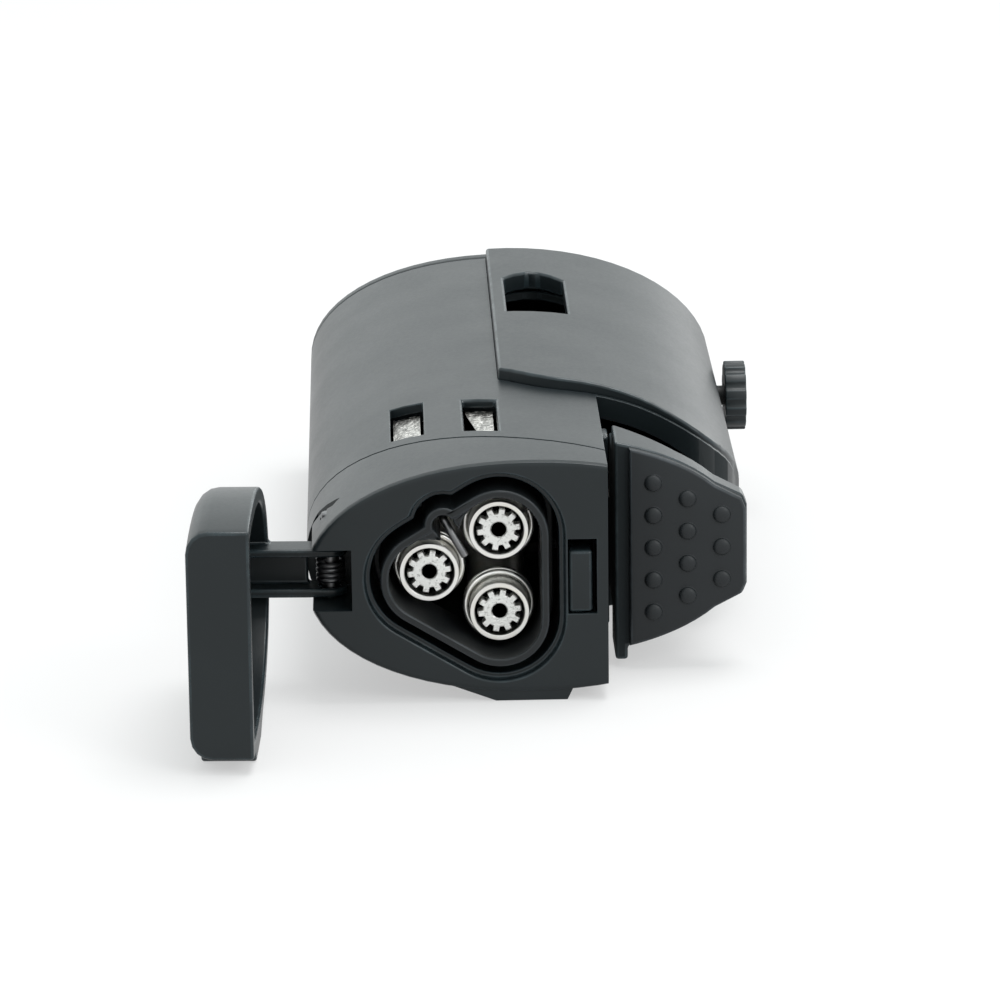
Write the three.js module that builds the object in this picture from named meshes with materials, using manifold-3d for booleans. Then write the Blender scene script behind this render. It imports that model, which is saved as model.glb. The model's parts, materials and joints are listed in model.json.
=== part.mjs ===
// Pocket torch lighter with three jets, a piezo igniter and a flip-up lid, lying on its back with the lid open.
//
// The pieces are drawn upright: X across the lighter with the trigger on +X, Y through it with the air windows
// on +Y, and Z up from the base to the burners. One turn at the end lays the whole lighter down.
import * as THREE from "three";
import { mergeVertices } from "three/addons/utils/BufferGeometryUtils.js";
import Module from "manifold-3d";

const wasm = await Module();
wasm.setup();

// ---------------------------------------------------------------- driving dimensions, in millimetres

// the casing
const halfWidth = 18.5; // half of the oval section, across
const halfDepth = 9.9; // half of the oval section, front to back
const roundness = 2.14; // exponent of the oval: 2 is an ellipse
const deckHeight = 73.1; // base to the burner deck
const wall = 1.9; // casing wall
const gap = 0.3; // between pieces that touch
const fit = 0.1; // radial clearance of a turning fit
const seamHeight = deckHeight - 7.1; // seam between casing and head, on the middle line
const seamSlope = 0.37; // its rise for each millimetre towards the trigger
const shoulder = 6.3; // where head and lid end beside the trigger
const bulkheadWall = 1; // wall between the burners and the trigger
const bulkheadDrop = 17; // how far it reaches below the seam

const padProud = 0.75; // flat pad down the back
const padLeft = -3;
const padRight = 2.9;
const padRamp = 3.6; // width of its soft side
const padUndercut = 0.55; // width of its sharp side

const basePlate = 1.6; // thickness of the base plate
const screwX = halfWidth - 4.6;
const screwHead = 1.5;
const screwShank = 0.7;
const screwSlot = 0.4;
const screwLength = 6.6;
const bossRadius = 1.9;
const bossTop = 9;
const ribWidth = 1.2; // rib that ties a boss to the casing

const coverProud = 0.4; // cover outside the casing
const coverCrown = 1; // the same on the middle of its front, which is fuller
const coverRoundness = 2; // exponent of its front
const coverEdgeRound = 0.35; // rounding of its end at the base
const coverWall = 1.1;
const coverFront = -1.65; // edge of the cover on the front
const coverBack = 4.3; // edge of the cover on the back
const coverLow = deckHeight - 25.1; // the cover's edge beside the air windows
const coverLip = 0.9; // casing wall that shows beyond the cover beside the trigger bay

const windowWidth = 2.8; // air windows
const windowLength = 9.8;
const windowEdge = 2.1; // from the seam
const windowWall = 0.8; // the casing is thinner round the air windows
const windowXs = { left: -9.9, right: -3.75 };
const leftWindowExtra = 0.4; // the left air window is this much longer
const screenWidth = 2.3; // air screens
const screenThickness = 0.7;
const fuelWindowWidth = 5.4;
const fuelWindowLength = 12.5;
const fuelWindowArch = 2.2; // rise of its far end
const fuelWindowX = 2.12;
const fuelWindowHeight = 20.1; // its centre above the base
const windowRebate = 0.8; // the casing stands back round the fuel window

// the burners
const coilWire = 0.25; // radius of the catalyst wire
const burnerRadius = 2.48;
const burnerWall = 0.42;
const burnerLength = 19.8;
const burnerTop = deckHeight - 2;
const burnerBottom = burnerTop - burnerLength;
const burnerPitchX = burnerRadius + 3.27; // single burner to the pair, across
const burnerPitchY = 2 * (burnerRadius + fit + 2 * coilWire) + 0.84; // between the two burners of the pair
const coreRadius = burnerRadius - burnerWall - 0.24; // tips of the flame disc's teeth
const coreTeeth = 10;
const toothDepth = 0.42;
const discSink = 0.2; // flame disc below the burner's mouth
const discThickness = 1.1;
const stemRadius = coreRadius - 0.52;
const jetRadius = 0.7;
const coilTurns = 1.7;
const coilDrop = 3.4; // foot of the coil below the burner's mouth
const blockHeight = 3.5; // gas block under the burners
const gasBore = 0.6;

const guardRadius = burnerRadius + 1.57; // guard outline, measured from the burner axes
const guardWall = 0.65;
const guardProud = 0.3; // guard above the deck
const guardHeight = 7.6;
const footHeight = 1.2;
const wellGap = 0.85; // guard to well
const lipWidth = 0.45; // step round the well
const lipDepth = 0.8;
const electrodeBulge = 2.4; // the well's bump round the electrode

const latchSlotX = shoulder - 3.3;
const latchSlotWidth = 2.38;
const latchSlotLength = 6.4;
const latchWidth = latchSlotWidth - 0.48;
const latchLength = latchSlotLength - 1.05;
const latchFoot = deckHeight - 9.1;
const latchSink = 0.15; // latch below the deck
const burnerPairX = latchSlotX - (guardRadius + wellGap + lipWidth) - 0.25;

const electrodeX = burnerPairX - burnerPitchX + 1.15;
const electrodeY = burnerPitchY / 2 + 1.1;
const electrodeWire = 0.33;
const electrodeCup = 0.9; // radius of the pocket round the electrode
const electrodeFoot = burnerTop - 17.1;
const insulatorWall = 0.3;

// the hinge and the lid
const hingeX = -halfWidth + 2;
const hingeHeight = deckHeight - 4.9;
const hingePin = 0.7; // radius
const hingePinLength = 9;
const hingeBoss = hingePin + 0.75; // radius of the lid arm round the pin
const armBack = -2.45; // the lid arm's two sides
const armFront = 1.65;
const armMiddle = (armBack + armFront) / 2;
const hingeSlotHalf = 2.6; // half of the slot that the arm swings in
const armWeb = 0.5; // the arm's channel starts this far behind the pin
const springWidth = 2.7; // room for the coil in the lid arm
const springWire = 0.22;
const springRadius = hingePin + 0.55; // lid spring, outside
const springTurns = 4;
const lidHeight = 5.05;
const lidWall = 1.3;
const lidRound = 1.8; // rounding of the lid's top edge
const lidOpening = THREE.MathUtils.degToRad(92.5); // how far the lid stands open
const linerThickness = 0.5;

// the trigger
const triggerLeft = shoulder + 0.95;
const triggerInset = 0.25; // trigger inside the casing's outline
const triggerRight = halfWidth - 0.2;
const triggerCorner = triggerRight - 2.7; // where its flanks turn in
const flankSteps = 10; // facets of a flank
const triggerNose = 4.3; // half of its blunt end
const triggerTop = deckHeight - 8.6; // face round the bump pad
const triggerTravel = 3;
const triggerWall = 1;
const skirtDrop = 11; // skirt below the trigger's face
const skirtInset = wall + 0.4;
const capThickness = 1.9;
const railWidth = 1.15; // guide rail between head and trigger
const padHeight = 0.6; // bump pad above that face
const padMargin = 1.2; // its edge on the head's side
const footProud = 0.7; // the trigger's inner edge reaches this far beyond the oval at the back
const bumpRadius = 0.75;
const bumpFlatness = 0.6;
const bumpPitch = 2.8;
const bumpStart = 3.5; // first row from the trigger's left edge
const bumpEnd = 2.05; // last row from its right end
const bumpRows = [5, 4, 3];

// the piezo igniter
const piezoX = triggerRight - 6.4;
const piezoWidth = 4.8;
const piezoDepth = 6.4;
const piezoTop = triggerTop - 16.5;
const piezoLength = 26;
const plungerWidth = 2.2;
const plungerDepth = 2.6;
const plungerSeat = 3.5; // plunger inside the case at rest
const plungerTop = triggerTop - 8.5;
const plungerBoss = 1.6; // boss of the trigger over the plunger
const plungerPlay = 0.2;
const triggerSpringRadius = 2.1;
const triggerSpringWire = 0.24;
const triggerSpringTurns = 6;
const leadRadius = 0.5;

// the fuel tank, the valves and the lever
const leverHeight = piezoTop - 4.4;
const leverThickness = 1.2;
const leverWidth = 3.2;
const leverEnd = piezoX - piezoWidth / 2 - 0.4;
const leverPivotX = 1;
const leverPin = 0.6;
const leverHub = 1.3;
const armThickness = 1.1; // trigger's arm on the lever
const earWall = 1; // bracket of the lever
const earInside = leverWidth / 2 + 0.7;
const valveX = -3;
const valveRadius = 3;
const valveTop = leverHeight - 1.1;
const tankTop = valveTop - 5.5;
const tankRight = piezoX - piezoWidth / 2 - 2.3;
const tankGap = 0.8; // tank to casing
const tankStep = 2.2; // the tank stands back beside the adjuster
const outletRadius = 1.1;
const outletHeight = tankTop + 2.6;
const outletReach = 1.6;
const hoseRadius = 0.85;
const stemPin = 0.8; // valve stem
const stemBore = 0.95;
const stemCap = 1.9;
const stemTop = leverHeight + 1.9;
const fillerX = -5;
const fillerFlange = 2;
const fillerBody = 1.2;
const fillerBore = 0.65;
const fillerTop = 5;
const fillerStem = 0.5;

// the flame adjuster
const knobHeight = 16.3; // above the base
const knobRadius = 3.15;
const knobThickness = 1.9;
const knobStandOff = 0.6; // knob to cover
const knobInside = halfWidth + coverProud + knobStandOff;
const knobGrips = 12;
const gripRadius = 0.6;
const adjusterStem = 1;
const stemSeat = 1; // stem inside the knob
const regulatorLeft = tankRight + 1.2;
const regulatorRight = halfWidth - 5.7;
const regulatorHalf = 2.8;
const regulatorFoot = 12.6;
const regulatorTop = 20;

// ---------------------------------------------------------------- materials

const matte = (color, roughness, metalness = 0) => new THREE.MeshStandardMaterial({ color, roughness, metalness });
const charcoal = matte(0x353b3f, 0.55);
const darkPlastic = matte(0x1c1f21, 0.6);
const rubber = matte(0x141516, 0.8);
const steel = matte(0xc9c6c0, 0.3, 1);
const sinter = matte(0xb4b0a8, 0.6, 1);
const brass = matte(0xb08d4a, 0.35, 1);
const ceramic = matte(0xe6e2d8, 0.5);
const smoked = matte(0x3a3f40, 0.15);
smoked.transparent = true;
smoked.opacity = 0.6;

// ---------------------------------------------------------------- solids

const far = 150; // beyond every side of the lighter

function solid(geometry) {
  const bare = geometry.clone();
  bare.deleteAttribute("normal");
  bare.deleteAttribute("uv");
  const merged = mergeVertices(bare, 1e-4);
  return new wasm.Manifold(
    new wasm.Mesh({
      numProp: 3,
      vertProperties: new Float32Array(merged.attributes.position.array),
      triVerts: new Uint32Array(merged.index.array),
    }),
  );
}

const join = (first, ...others) => others.reduce((whole, piece) => whole.add(piece), first);
const cut = (first, ...others) => others.reduce((whole, piece) => whole.subtract(piece), first);
const keep = (first, ...others) => others.reduce((whole, piece) => whole.intersect(piece), first);

function geometryOf(piece) {
  const mesh = piece.getMesh();
  const geometry = new THREE.BufferGeometry();
  geometry.setAttribute("position", new THREE.BufferAttribute(new Float32Array(mesh.vertProperties), 3));
  geometry.setIndex(new THREE.BufferAttribute(new Uint32Array(mesh.triVerts), 1));
  geometry.computeVertexNormals();
  return geometry;
}

// A flat outline in X and Y, raised from bottom to top.
function prism(shape, bottom, top, bevel = 0, curveSegments = 8) {
  const geometry = new THREE.ExtrudeGeometry(shape, {
    depth: top - bottom - 2 * bevel,
    curveSegments,
    bevelEnabled: bevel > 0,
    bevelThickness: bevel,
    bevelSize: bevel,
    bevelOffset: -bevel,
    bevelSegments: Math.max(2, Math.ceil(2 * bevel)),
  });
  return solid(geometry.translate(0, 0, bottom + bevel));
}

// A flat outline in X and Z, given as points, reaching from back to front.
function slab(points, back, front) {
  const shape = new THREE.Shape(points.map(([x, z]) => new THREE.Vector2(x, z)));
  const geometry = new THREE.ExtrudeGeometry(shape, { depth: front - back, bevelEnabled: false });
  return solid(geometry.rotateX(Math.PI / 2).translate(0, front, 0));
}

function block(x0, x1, y0, y1, z0, z1) {
  const geometry = new THREE.BoxGeometry(x1 - x0, y1 - y0, z1 - z0);
  return solid(geometry.translate((x0 + x1) / 2, (y0 + y1) / 2, (z0 + z1) / 2));
}

function post(radius, x, y, bottom, top, sides = 24) {
  const geometry = new THREE.CylinderGeometry(radius, radius, top - bottom, sides);
  return solid(geometry.rotateX(Math.PI / 2).translate(x, y, (bottom + top) / 2));
}

function crossPin(radius, x, z, back, front, sides = 24) {
  const geometry = new THREE.CylinderGeometry(radius, radius, front - back, sides);
  return solid(geometry.translate(x, (back + front) / 2, z));
}

function sidePin(radius, y, z, left, right, sides = 24) {
  const geometry = new THREE.CylinderGeometry(radius, radius, right - left, sides);
  return solid(geometry.rotateZ(Math.PI / 2).translate((left + right) / 2, y, z));
}

function wire(curve, radius, steps, sides = 8) {
  const section = new THREE.Shape();
  for (let i = 0; i < sides; i++) {
    const angle = (i / sides) * 2 * Math.PI;
    const point = [radius * Math.cos(angle), radius * Math.sin(angle)];
    if (i === 0) section.moveTo(...point);
    else section.lineTo(...point);
  }
  return solid(new THREE.ExtrudeGeometry(section, { steps, extrudePath: curve, bevelEnabled: false }));
}

class Helix extends THREE.Curve {
  constructor(radius, turns, length, place) {
    super();
    Object.assign(this, { radius, turns, length, place });
  }

  getPoint(t, target = new THREE.Vector3()) {
    const angle = t * this.turns * 2 * Math.PI;
    return this.place(target.set(this.radius * Math.cos(angle), this.radius * Math.sin(angle), t * this.length));
  }
}

// ---------------------------------------------------------------- outlines

// An oval of two half sizes: an exponent of 2 makes an ellipse, more makes it fuller at its corners.
function fullOval(halfX, halfY, exponent, segments = 68) {
  const power = 2 / exponent;
  const points = [];
  for (let i = 0; i < segments; i++) {
    const angle = (i / segments) * 2 * Math.PI;
    const c = Math.cos(angle);
    const s = Math.sin(angle);
    points.push(
      new THREE.Vector2(
        halfX * Math.sign(c) * Math.abs(c) ** power,
        halfY * Math.sign(s) * Math.abs(s) ** power,
      ),
    );
  }
  return new THREE.Shape(points);
}

// The casing's section, grown outwards by the given amount.
const oval = (grow = 0, segments = 68) => fullOval(halfWidth + grow, halfDepth + grow, roundness, segments);

const ovalDepthAt = (x) => halfDepth * (1 - Math.abs(x / halfWidth) ** roundness) ** (1 / roundness);

const burners = {
  left: [burnerPairX - burnerPitchX, 0],
  back: [burnerPairX, -burnerPitchY / 2],
  front: [burnerPairX, burnerPitchY / 2],
};

// The rounded triangle at one distance from the three burner axes, with a bump round the electrode.
function triangle(radius, bottom, top, bump = 0) {
  const centres = [burners.back, burners.front, burners.left];
  const outward = centres.map((from, i) => {
    const to = centres[(i + 1) % 3];
    return Math.atan2(to[1] - from[1], to[0] - from[0]) - Math.PI / 2;
  });
  const shape = new THREE.Shape();
  centres.forEach(([x, y], i) => shape.absarc(x, y, radius, outward[(i + 2) % 3], outward[i], false));
  const body = prism(shape, bottom, top);
  return bump > 0 ? join(body, post(bump, electrodeX, electrodeY, bottom, top)) : body;
}

// The cover's upper edge: it sweeps up beside the windows and falls away on the trigger side.
const coverEdge = new THREE.CatmullRomCurve3(
  [
    [-3.5, -2.6],
    [coverFront, -1.6],
    [0, 0],
    [2.5, 1.6],
    [shoulder, 2.1],
    [triggerLeft + 2.75, 3],
    [triggerRight - 4.3, 4.7],
    [triggerRight - 2.3, 4.4],
    [triggerRight - 0.5, 1.5],
    [triggerRight + 0.7, -2],
    [halfWidth + 2.5, -3],
  ].map(([x, rise]) => new THREE.Vector3(x, 0, coverLow + rise)),
);

// Everything below the cover's edge, from one X outwards; lift moves the edge up or down.
function underCover(left, back, front, lift = 0) {
  const edge = coverEdge.getPoints(28).filter((point) => point.x > left + 0.1);
  const start = coverEdge.getPoints(200).find((point) => point.x >= left).z;
  const top = edge.map((point) => [point.x, point.z + lift]).reverse();
  return slab([[left, -1], [top[0][0], -1], ...top, [left, start + lift]], back, front);
}

const seamAt = (x) => seamHeight + seamSlope * x;
const seamEnds = (shift) => [-far, far].map((x) => [x, seamAt(x) + shift]);
const belowSeam = (shift) => slab([[far, -far], [-far, -far], ...seamEnds(shift)], -far, far);
const aboveSeam = (shift) => slab([[far, 2 * far], [-far, 2 * far], ...seamEnds(shift)], -far, far);
const leftOf = (x) => block(-far, x, -far, far, -far, far);
const rightOf = (x) => block(x, far, -far, far, -far, far);

// The flat pad down the back: a soft ramp on the hinge side, a sharp edge on the trigger side.
function backPad(bottom, top) {
  const surface = -(halfDepth + padProud);
  const shape = new THREE.Shape([
    new THREE.Vector2(padLeft - padRamp, -ovalDepthAt(padLeft - padRamp) + 0.1),
    new THREE.Vector2(padLeft, surface),
    new THREE.Vector2(padRight, surface),
    new THREE.Vector2(padRight + padUndercut, -halfDepth + 0.4),
    new THREE.Vector2(padRight, -halfDepth + wall / 2),
    new THREE.Vector2(padLeft, -halfDepth + wall / 2),
  ]);
  return prism(shape, bottom, top);
}

// ---------------------------------------------------------------- the lighter and how pieces are added

const lighter = new THREE.Group();
const lid = new THREE.Group(); // drawn shut, then swung open about the hinge
lighter.add(lid);

function place(name, piece, material, owner = lighter) {
  const mesh = new THREE.Mesh(geometryOf(piece), material);
  mesh.name = name;
  owner.add(mesh);
}

// ---------------------------------------------------------------- casing

function bodyShell() {
  const inner = prism(oval(-wall), -far, far);
  const bulkhead = keep(
    block(shoulder - bulkheadWall, shoulder, -halfDepth, halfDepth, seamHeight - bulkheadDrop, far),
    prism(oval(-wall / 2), 0, far),
  );
  const railDepth = ovalDepthAt(shoulder) - 1.2;
  const railTop = triggerTop - 4.5;
  const railEnd = triggerLeft - gap;
  const guideRail = block(shoulder - bulkheadWall / 2, railEnd, -railDepth, railDepth, railTop - 3, railTop);
  const coverBed = cut(prism(oval(3), 0, far), prism(oval(coverProud - coverWall - gap), -1, far));
  const coverRoom = join(
    underCover(coverFront - gap, 0, far, gap),
    underCover(coverBack - gap, -far, 0.1, gap),
  );
  const bay = cut(rightOf(shoulder), underCover(0, -far, far, coverLip));
  const start = basePlate + gap;
  const boss = (side) => {
    const [x0, x1] = [side * screwX, side * (halfWidth - wall / 2)].sort((a, b) => a - b);
    return join(
      post(bossRadius, side * screwX, 0, start, bossTop),
      block(x0, x1, -ribWidth / 2, ribWidth / 2, start, bossTop),
    );
  };
  const shell = join(
    cut(join(prism(oval(), start, far), backPad(start, far)), inner),
    bulkhead,
    boss(-1),
    boss(1),
  );
  const opened = cut(
    keep(shell, belowSeam(-gap / 2)),
    keep(coverBed, coverRoom),
    bay,
    ...Object.keys(windowXs).flatMap((side) => [airWindow(side), screenPocket(side)]),
    fuelWindow(windowRebate),
    sidePin(adjusterStem + gap, 0, knobHeight, 10, far),
    post(screwShank + gap, -screwX, 0, 0, bossTop - 1),
    post(screwShank + gap, screwX, 0, 0, bossTop - 1),
  );
  return join(opened, guideRail);
}

// A slot in the front, its ends parallel to the seam; grow makes it longer and wider at each side.
function windowSlot(side, width, grow, front) {
  const left = windowXs[side] - width / 2;
  const right = windowXs[side] + width / 2;
  const length = windowLength + (side === "left" ? leftWindowExtra : 0);
  const near = (at) => seamAt(at) - windowEdge + grow;
  const end = (at) => near(at) - length - 2 * grow;
  return slab([[left, end(left)], [right, end(right)], [right, near(right)], [left, near(left)]], 2, front);
}

const airWindow = (side) => windowSlot(side, windowWidth, 0, far);

// The room behind an air window, where the casing is thinner.
function screenPocket(side) {
  return keep(windowSlot(side, windowWidth + 2.4, 0.9, far), prism(oval(-windowWall), 0, far));
}

// The metal screen close behind an air window.
function airScreen(side) {
  const outer = prism(oval(-windowWall - gap), 0, far);
  const inner = prism(oval(-windowWall - gap - screenThickness), 0, far);
  return keep(windowSlot(side, screenWidth, 0.5, far), cut(outer, inner));
}

function fuelWindow(grow) {
  const halfX = fuelWindowWidth / 2 + grow;
  const halfZ = fuelWindowLength / 2 + grow;
  const left = fuelWindowX - halfX;
  const right = fuelWindowX + halfX;
  const end = fuelWindowHeight - halfZ;
  const near = fuelWindowHeight + halfZ;
  const rise = (t) => fuelWindowArch * Math.sin(t * Math.PI);
  const arch = [0.2, 0.4, 0.6, 0.8].map((t) => [left + t * 2 * halfX, end - rise(t)]);
  return slab([[left, end], ...arch, [right, end], [right, near], [left, near]], 2, far);
}

function frontCover() {
  const crowned = fullOval(halfWidth + coverProud, halfDepth + coverCrown, coverRoundness);
  const skinOf = (shape) => prism(shape, basePlate + gap, far, coverEdgeRound);
  const front = keep(skinOf(crowned), block(-far, far, 0, far, 0, far));
  const back = keep(skinOf(oval(coverProud)), block(-far, far, -far, 0.01, 0, far));
  const skin = cut(join(front, back), prism(oval(coverProud - coverWall), -1, far));
  const region = join(underCover(coverFront, 0, far), underCover(coverBack, -far, 0.1));
  return cut(keep(skin, region), fuelWindow(0), sidePin(adjusterStem + gap, 0, knobHeight, 10, far));
}

function headCollar() {
  const low = deckHeight - 33;
  const head = join(prism(oval(), low, deckHeight, 0.5), backPad(low, deckHeight - 0.3));
  const lipRadius = guardRadius + wellGap + lipWidth;
  const well = triangle(guardRadius + wellGap, low, far, electrodeBulge);
  const lip = triangle(lipRadius, deckHeight - lipDepth, far, electrodeBulge + lipWidth);
  const slotEnd = hingeX + hingeBoss + gap;
  const hingeSlot = block(-far, slotEnd, -hingeSlotHalf, hingeSlotHalf, hingeHeight - 2.8, far);
  const latchHalf = latchSlotLength / 2;
  const latchSlot = block(latchSlotX, latchSlotX + latchSlotWidth, -latchHalf, latchHalf, low, far);
  const notch = [
    [-1.7, -2.8],
    [-1, -3],
    [0.9, -0.2],
    [0.3, 0.2],
  ].map(([x, z]) => [hingeX + x, hingeHeight + z]);
  const pinRoom = hingePinLength / 2 + fit;
  return cut(
    keep(head, leftOf(shoulder), aboveSeam(gap / 2)),
    well,
    lip,
    hingeSlot,
    latchSlot,
    slab(notch, halfDepth * 0.2, far),
    crossPin(hingePin + fit, hingeX, hingeHeight, -pinRoom, pinRoom, 32),
  );
}

function basePlatePiece() {
  const screwRoom = (x) => [
    post(screwHead + gap, x, 0, -1, basePlate - 0.5),
    post(screwShank + gap, x, 0, -1, basePlate + 1),
  ];
  return cut(
    join(prism(oval(), 0, basePlate, 0.3), backPad(0.3, basePlate)),
    post(fillerFlange + gap, fillerX, 0, -1, basePlate + 1),
    ...screwRoom(-screwX),
    ...screwRoom(screwX),
  );
}

function baseScrew(side) {
  const x = side * screwX;
  const slot = block(x - 1, x + 1, -screwSlot / 2, screwSlot / 2, 0, 0.6);
  return cut(join(post(screwHead, x, 0, 0.2, 1), post(screwShank, x, 0, 0.9, 0.9 + screwLength, 16)), slot);
}

place("body_shell", bodyShell(), charcoal);
place("front_cover", frontCover(), charcoal);
place("head_collar", headCollar(), charcoal);
place("base_plate", basePlatePiece(), charcoal);
place("base_screw_left", baseScrew(-1), steel);
place("base_screw_right", baseScrew(1), steel);
place("air_screen_left", airScreen("left"), sinter);
place("air_screen_right", airScreen("right"), sinter);

// ---------------------------------------------------------------- burners

function burnerGuard() {
  const top = deckHeight + guardProud;
  const bottom = top - guardHeight;
  const inner = triangle(guardRadius - guardWall, 0, far, electrodeCup);
  const ring = cut(triangle(guardRadius, bottom, top, electrodeCup + guardWall), inner);
  const foot = cut(triangle(guardRadius + wellGap - gap, bottom, bottom + footHeight), inner);
  const coilRoom = burnerRadius + fit + 2 * coilWire + 0.25;
  const wireRoom = [0, 0.45, 0.9, 1.6].map((reach) =>
    post(electrodeCup, electrodeX + reach, electrodeY - 1.7 * reach, 0, far),
  );
  const shelf = cut(
    keep(
      triangle(guardRadius - guardWall / 2, bottom, top - 0.5),
      post(3 * electrodeCup, electrodeX + 0.5, electrodeY - 0.5, bottom, top),
    ),
    post(coilRoom, ...burners.front, 0, far),
    post(coilRoom, ...burners.left, 0, far),
    ...wireRoom,
  );
  return join(ring, foot, shelf);
}

function burnerTube([x, y]) {
  return cut(
    post(burnerRadius, x, y, burnerBottom, burnerTop, 40),
    post(burnerRadius - burnerWall, x, y, 0, far, 40),
  );
}

// The jet core: a slim stem with a toothed head close below the burner's mouth.
function flameDisc([x, y]) {
  const root = coreRadius - toothDepth;
  const pitch = (2 * Math.PI) / coreTeeth;
  const half = 0.29 * pitch;
  const shape = new THREE.Shape();
  for (let i = 0; i < coreTeeth; i++) {
    const middle = i * pitch;
    shape.absarc(0, 0, coreRadius, middle - half, middle + half, false);
    shape.absarc(0, 0, root, middle + half * 1.25, middle + pitch - half * 1.25, false);
  }
  const top = burnerTop - discSink;
  const head = prism(shape, top - discThickness, top, 0, 2).translate([x, y, 0]);
  const stem = post(stemRadius, x, y, burnerBottom, top - discThickness + 0.1);
  return cut(join(head, stem), post(jetRadius, x, y, 0, far));
}

function burnerCoil([x, y], start) {
  const radius = burnerRadius + fit + coilWire;
  const curve = new Helix(radius, coilTurns, coilTurns, (point) => {
    const turned = point.applyAxisAngle(new THREE.Vector3(0, 0, 1), start);
    return turned.add(new THREE.Vector3(x, y, burnerTop - coilDrop));
  });
  return wire(curve, coilWire, 26, 6);
}

// The spark wire: straight up its insulator, then bent over between two burners.
function electrode() {
  const route = [
    [0, 0, electrodeFoot],
    [0, 0, electrodeFoot + 8],
    [0, 0, burnerTop - 2.1],
    [0.1, -0.2, burnerTop - 0.5],
    [0.7, -1.4, burnerTop + 0.1],
    [1.85, -3.35, burnerTop + 0.2],
  ].map(([x, y, z]) => new THREE.Vector3(electrodeX + x, electrodeY + y, z));
  return wire(new THREE.CatmullRomCurve3(route), electrodeWire, 22, 6);
}

function electrodeInsulator() {
  const bore = electrodeWire + 0.12;
  return cut(
    post(bore + insulatorWall, electrodeX, electrodeY, electrodeFoot + 1, burnerTop - 4.1),
    post(bore, electrodeX, electrodeY, 0, far, 16),
  );
}

function burnerBlock() {
  const top = burnerBottom - gap;
  const bottom = top - blockHeight;
  return cut(
    triangle(burnerRadius + 0.3, bottom, top),
    post(hoseRadius + 0.35, ...burners.left, bottom - 1, bottom + 1.5),
    ...Object.values(burners).map(([x, y]) => post(gasBore, x, y, bottom + 1, far, 16)),
  );
}

place("burner_guard", burnerGuard(), charcoal);
place("burner_block", burnerBlock(), brass);
Object.entries(burners).forEach(([side, axis], i) => {
  place("burner_tube_" + side, burnerTube(axis), steel);
  place("flame_disc_" + side, flameDisc(axis), sinter);
  place("burner_coil_" + side, burnerCoil(axis, 0.6 + i * 1.9), steel);
});
place("electrode", electrode(), steel);
place("electrode_insulator", electrodeInsulator(), ceramic);

// ---------------------------------------------------------------- fuel tank, gas valve and refill valve

function fuelTank() {
  const bossRoom = bossRadius + 0.4;
  return cut(
    keep(prism(oval(-wall - tankGap), basePlate + tankGap, tankTop), leftOf(tankRight)),
    block(fuelWindowX - 4, far, halfDepth - wall - tankStep, far, 0, tankTop - 7),
    post(bossRoom, -screwX, 0, 0, bossTop + 0.5),
    block(-far, -screwX, -ribWidth / 2 - 0.4, ribWidth / 2 + 0.4, 0, bossTop + 0.5),
    post(fillerBody + gap, fillerX, 0, 0, fillerTop + 3),
  );
}

function gasValve() {
  const outlet = sidePin(outletRadius, 0, outletHeight, valveX - valveRadius - outletReach, valveX, 16);
  return cut(
    join(post(valveRadius, valveX, 0, tankTop + gap, valveTop, 6), outlet),
    post(stemBore, valveX, 0, outletHeight + 0.6, far),
  );
}

function valveStem() {
  return join(
    post(stemPin, valveX, 0, outletHeight + 1, stemTop),
    post(stemCap, valveX, 0, leverHeight + leverThickness / 2 + 0.4, stemTop),
  );
}

function gasHose() {
  const start = valveX - valveRadius - outletReach;
  const [end] = burners.left;
  const top = burnerBottom - blockHeight;
  const route = [
    [start - gap, outletHeight],
    [start - 1.6, outletHeight + 0.3],
    [start - 2.4, outletHeight + 2.4],
    [end - 0.6, top - 2.9],
    [end, top - 0.9],
    [end, top + 0.8],
  ].map(([x, z]) => new THREE.Vector3(x, 0, z));
  return wire(new THREE.CatmullRomCurve3(route), hoseRadius, 16, 8);
}

function valveBracket() {
  const bottom = tankTop + gap;
  const outside = earInside + earWall;
  const ear = (y) => block(leverPivotX - 1.5, leverPivotX + 1.5, y, y + earWall, bottom, leverHeight + 1.6);
  const foot = block(leverPivotX - 0.8, leverPivotX + 5, -outside, outside, bottom, bottom + earWall);
  const bore = crossPin(leverPin + fit, leverPivotX, leverHeight, -9, 9);
  return cut(join(foot, ear(earInside), ear(-outside)), bore);
}

function valveLever() {
  const half = leverThickness / 2;
  const side = leverWidth / 2;
  const hubSide = side + gap;
  const forkHalf = stemPin + 0.25;
  const bar = block(valveX - 1, leverEnd, -side, side, leverHeight - half, leverHeight + half);
  const hub = crossPin(leverHub, leverPivotX, leverHeight, -hubSide, hubSide);
  const fork = block(valveX - 3, valveX + 1.2, -forkHalf, forkHalf, leverHeight - 2, leverHeight + 2);
  return cut(join(bar, hub), fork, crossPin(leverPin + fit, leverPivotX, leverHeight, -9, 9));
}

function leverPinPiece() {
  const reach = earInside + earWall + gap;
  return crossPin(leverPin, leverPivotX, leverHeight, -reach, reach);
}

function refillValve() {
  return cut(
    join(
      post(fillerFlange, fillerX, 0, 0.3, basePlate + gap),
      post(fillerBody, fillerX, 0, basePlate, fillerTop),
    ),
    post(fillerBore, fillerX, 0, -1, fillerTop + 1, 16),
  );
}

place("fuel_tank", fuelTank(), smoked);
place("gas_valve", gasValve(), brass);
place("valve_stem", valveStem(), brass);
place("gas_hose", gasHose(), rubber);
place("valve_bracket", valveBracket(), steel);
place("valve_lever", valveLever(), steel);
place("lever_pin", leverPinPiece(), steel);
place("refill_valve", refillValve(), brass);
place("refill_stem", post(fillerStem, fillerX, 0, 0.5, fillerTop - 0.4, 16), steel);

// ---------------------------------------------------------------- piezo igniter, trigger and latch

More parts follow.
